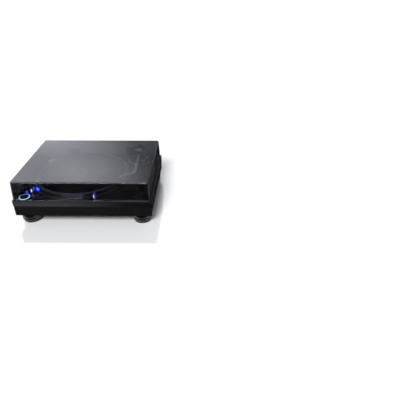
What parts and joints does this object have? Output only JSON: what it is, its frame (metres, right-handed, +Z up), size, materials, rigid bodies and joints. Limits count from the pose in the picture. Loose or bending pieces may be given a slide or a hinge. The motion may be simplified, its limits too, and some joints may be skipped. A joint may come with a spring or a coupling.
{
  "type": "dj turntable",
  "caption": "Direct-drive turntable on round feet with a hinged smoked dust cover, S-shaped tonearm on a gimbal, pitch fader, strobe tower and lit start button.",
  "frame": {"origin": "on the floor under the middle of the plinth", "axes": "+X to the right along the plinth's width, +Y to the rear where the sockets are, +Z up"},
  "size_m": [0.453, 0.353, 0.159],
  "materials": {
    "deck_paint": "cast, with satin dark grey paint",
    "base_resin": "matte black",
    "screw_steel": "plain",
    "bearing_brass": "turned",
    "coil_copper": "wound",
    "board_green": "circuit board",
    "supply_case": "plain",
    "dark_plastic": "satin black",
    "lit_lens": "lit lens",
    "fader_black": "matte black",
    "arm_dark": "satin dark grey",
    "jack_gold": "plated",
    "cover_acrylic": "smoked clear",
    "hinge_black": "black",
    "pad_rubber": "soft",
    "platter_alu": "turned",
    "magnet_ferrite": "plain",
    "spindle_steel": "polished",
    "mat_felt": "felt",
    "button_white": "satin",
    "button_grey": "satin",
    "arm_silver": "satin",
    "light_alu": "satin",
    "weight_dark": "dark",
    "foot_black": "gloss black"
  },
  "bodies": {
    "plinth": {"top_chassis": "deck_paint", "lower_base": "base_resin", "base_screws": "screw_steel", "bearing_housing": "bearing_brass", "stator_coils": "coil_copper", "stator_board": "board_green", "main_board": "board_green", "power_supply": "supply_case", "strobe_housing": "dark_plastic", "strobe_lens": "lit_lens", "start_ring": "lit_lens", "fader_plate": "fader_black", "fader_track": "supply_case", "light_sleeve": "dark_plastic", "arm_base": "arm_dark", "jack_panel": "dark_plastic", "rca_jacks": "jack_gold", "ground_post": "screw_steel", "power_inlet": "dark_plastic", "hinge_bases": "hinge_black", "hinge_pins": "screw_steel"},
    "cover": {"dust_cover": "cover_acrylic", "hinge_leaves": "hinge_black", "lid_pads": "pad_rubber"},
    "platter": {"platter": "platter_alu", "platter_damper": "pad_rubber", "rotor_magnet": "magnet_ferrite", "spindle": "spindle_steel"},
    "slipmat": {"slipmat": "mat_felt"},
    "start_button": {"start_stop_button": "button_white"},
    "speed_33": {"button_33": "button_grey"},
    "speed_45": {"button_45": "button_grey"},
    "power_switch": {"power_knob": "dark_plastic"},
    "light": {"stylus_light": "light_alu", "stylus_light_lens": "lit_lens"},
    "pitch": {"pitch_knob": "fader_black"},
    "tempo": {"tempo_button": "button_grey"},
    "reset": {"reset_button": "button_grey"},
    "adaptor": {"adaptor_45": "platter_alu"},
    "height_ring": {"height_ring": "arm_silver"},
    "carriage": {"arm_carriage": "arm_dark", "gimbal_arch": "arm_silver", "arm_rest": "arm_dark"},
    "lock": {"arm_lock": "arm_dark"},
    "anti_skate": {"anti_skate_knob": "arm_silver"},
    "cue": {"cue_lever": "arm_silver"},
    "lift": {"lift_bar": "screw_steel"},
    "clip": {"arm_clip": "arm_silver"},
    "gimbal": {"gimbal_ring": "arm_silver", "pivot_screws": "screw_steel"},
    "arm": {"arm_tube": "arm_silver", "arm_shaft": "screw_steel", "headshell": "arm_dark"},
    "counterweight": {"counterweight": "weight_dark"},
    "force_dial": {"force_dial": "dark_plastic"},
    "collet": {"headshell_collet": "arm_silver"},
    "foot_front_left": {"foot_front_left": "foot_black"},
    "foot_front_right": {"foot_front_right": "foot_black"},
    "foot_rear_left": {"foot_rear_left": "foot_black"},
    "foot_rear_right": {"foot_rear_right": "foot_black"}
  },
  "joints": [
    {"name": "lid_hinge", "type": "hinge", "parent": "plinth", "child": "cover", "pos_m": [0, 0.1724, 0.0985], "axis": [-1, 0, 0], "range_deg": [0, 60]},
    {"name": "platter_spin", "type": "hinge", "parent": "plinth", "child": "platter", "pos_m": [-0.037, -0.002, 0.094], "axis": [0, 0, 1], "continuous": true},
    {"name": "slipmat_slip", "type": "hinge", "parent": "platter", "child": "slipmat", "pos_m": [-0.037, -0.002, 0.1085], "axis": [0, 0, 1], "continuous": true},
    {"name": "start_press", "type": "slide", "parent": "plinth", "child": "start_button", "axis": [0, 0, -1], "range_m": [0, 0.0015], "stiffness_N_per_m": 400, "springref_m": -0.002},
    {"name": "speed_33_press", "type": "slide", "parent": "plinth", "child": "speed_33", "axis": [0, 0, -1], "range_m": [0, 0.0012], "stiffness_N_per_m": 400, "springref_m": -0.002},
    {"name": "speed_45_press", "type": "slide", "parent": "plinth", "child": "speed_45", "axis": [0, 0, -1], "range_m": [0, 0.0012], "stiffness_N_per_m": 400, "springref_m": -0.002},
    {"name": "power_turn", "type": "hinge", "parent": "plinth", "child": "power_switch", "pos_m": [-0.19265, -0.11061, 0.111], "axis": [0, 0, 1], "range_deg": [0, 45]},
    {"name": "light_push", "type": "slide", "parent": "plinth", "child": "light", "axis": [0, 0, -1], "range_m": [0, 0.022]},
    {"name": "pitch_slide", "type": "slide", "parent": "plinth", "child": "pitch", "axis": [0, 1, 0], "range_m": [-0.05, 0.05]},
    {"name": "tempo_press", "type": "slide", "parent": "plinth", "child": "tempo", "axis": [0, 0, -1], "range_m": [0, 0.001], "stiffness_N_per_m": 400, "springref_m": -0.002},
    {"name": "reset_press", "type": "slide", "parent": "plinth", "child": "reset", "axis": [0, 0, -1], "range_m": [0, 0.001], "stiffness_N_per_m": 400, "springref_m": -0.002},
    {"name": "adaptor_lift", "type": "slide", "parent": "plinth", "child": "adaptor", "axis": [0, 0, 1], "range_m": [0, 0.025]},
    {"name": "height_ring_turn", "type": "hinge", "parent": "plinth", "child": "height_ring", "pos_m": [0.1517, 0.1, 0.094], "axis": [0, 0, 1], "range_deg": [0, 300]},
    {"name": "arm_height", "type": "slide", "parent": "plinth", "child": "carriage", "axis": [0, 0, 1], "range_m": [0, 0.006]},
    {"name": "lock_turn", "type": "hinge", "parent": "plinth", "child": "lock", "pos_m": [0.195, 0.125, 0.094], "axis": [0, 0, -1], "range_deg": [0, 60]},
    {"name": "anti_skate_turn", "type": "hinge", "parent": "carriage", "child": "anti_skate", "pos_m": [0.1837, 0.098, 0.114], "axis": [0, 0, 1], "range_deg": [0, 270]},
    {"name": "cue_turn", "type": "hinge", "parent": "carriage", "child": "cue", "pos_m": [0.1757, 0.072, 0.119], "axis": [-1, 0, 0], "range_deg": [0, 50]},
    {"name": "lift_rise", "type": "slide", "parent": "carriage", "child": "lift", "axis": [0, 0, 1], "range_m": [0, 0.0022]},
    {"name": "clip_swing", "type": "hinge", "parent": "carriage", "child": "clip", "pos_m": [0.16286, 0.03835, 0.134], "axis": [0.0349, -0.9994, 0], "range_deg": [0, 180]},
    {"name": "arm_yaw", "type": "hinge", "parent": "carriage", "child": "gimbal", "pos_m": [0.1517, 0.1, 0.132], "axis": [0, 0, -1], "range_deg": [0, 33]},
    {"name": "arm_tilt", "type": "hinge", "parent": "gimbal", "child": "arm", "pos_m": [0.1517, 0.1, 0.132], "axis": [-0.9994, -0.0349, 0], "range_deg": [-1.5, 3.5]},
    {"name": "counterweight_slide", "type": "slide", "parent": "arm", "child": "counterweight", "axis": [-0.0349, 0.9994, 0], "range_m": [-0.004, 0.005]},
    {"name": "force_dial_turn", "type": "hinge", "parent": "counterweight", "child": "force_dial", "pos_m": [0.1517, 0.1, 0.132], "axis": [-0.0349, 0.9994, 0], "range_deg": [-160, 200]},
    {"name": "collet_turn", "type": "hinge", "parent": "arm", "child": "collet", "pos_m": [0.11748, -0.08631, 0.132], "axis": [-0.6074, -0.7944, 0], "range_deg": [0, 60]},
    {"name": "foot_front_left_screw", "type": "slide", "parent": "plinth", "child": "foot_front_left", "axis": [0, 0, -1], "range_m": [0, 0.008]},
    {"name": "foot_rear_left_screw", "type": "slide", "parent": "plinth", "child": "foot_rear_left", "axis": [0, 0, -1], "range_m": [0, 0.008]},
    {"name": "foot_front_right_screw", "type": "slide", "parent": "plinth", "child": "foot_front_right", "axis": [0, 0, -1], "range_m": [0, 0.008]},
    {"name": "foot_rear_right_screw", "type": "slide", "parent": "plinth", "child": "foot_rear_right", "axis": [0, 0, -1], "range_m": [0, 0.008]}
  ],
  "couplings": [
    {"joint": "height_ring_turn", "follows": "arm_height", "rad_per_m": 872.66},
    {"joint": "cue_turn", "follows": "lift_rise", "rad_per_m": 396.67},
    {"joint": "force_dial_turn", "follows": "counterweight_slide", "rad_per_m": 698.13}
  ]
}
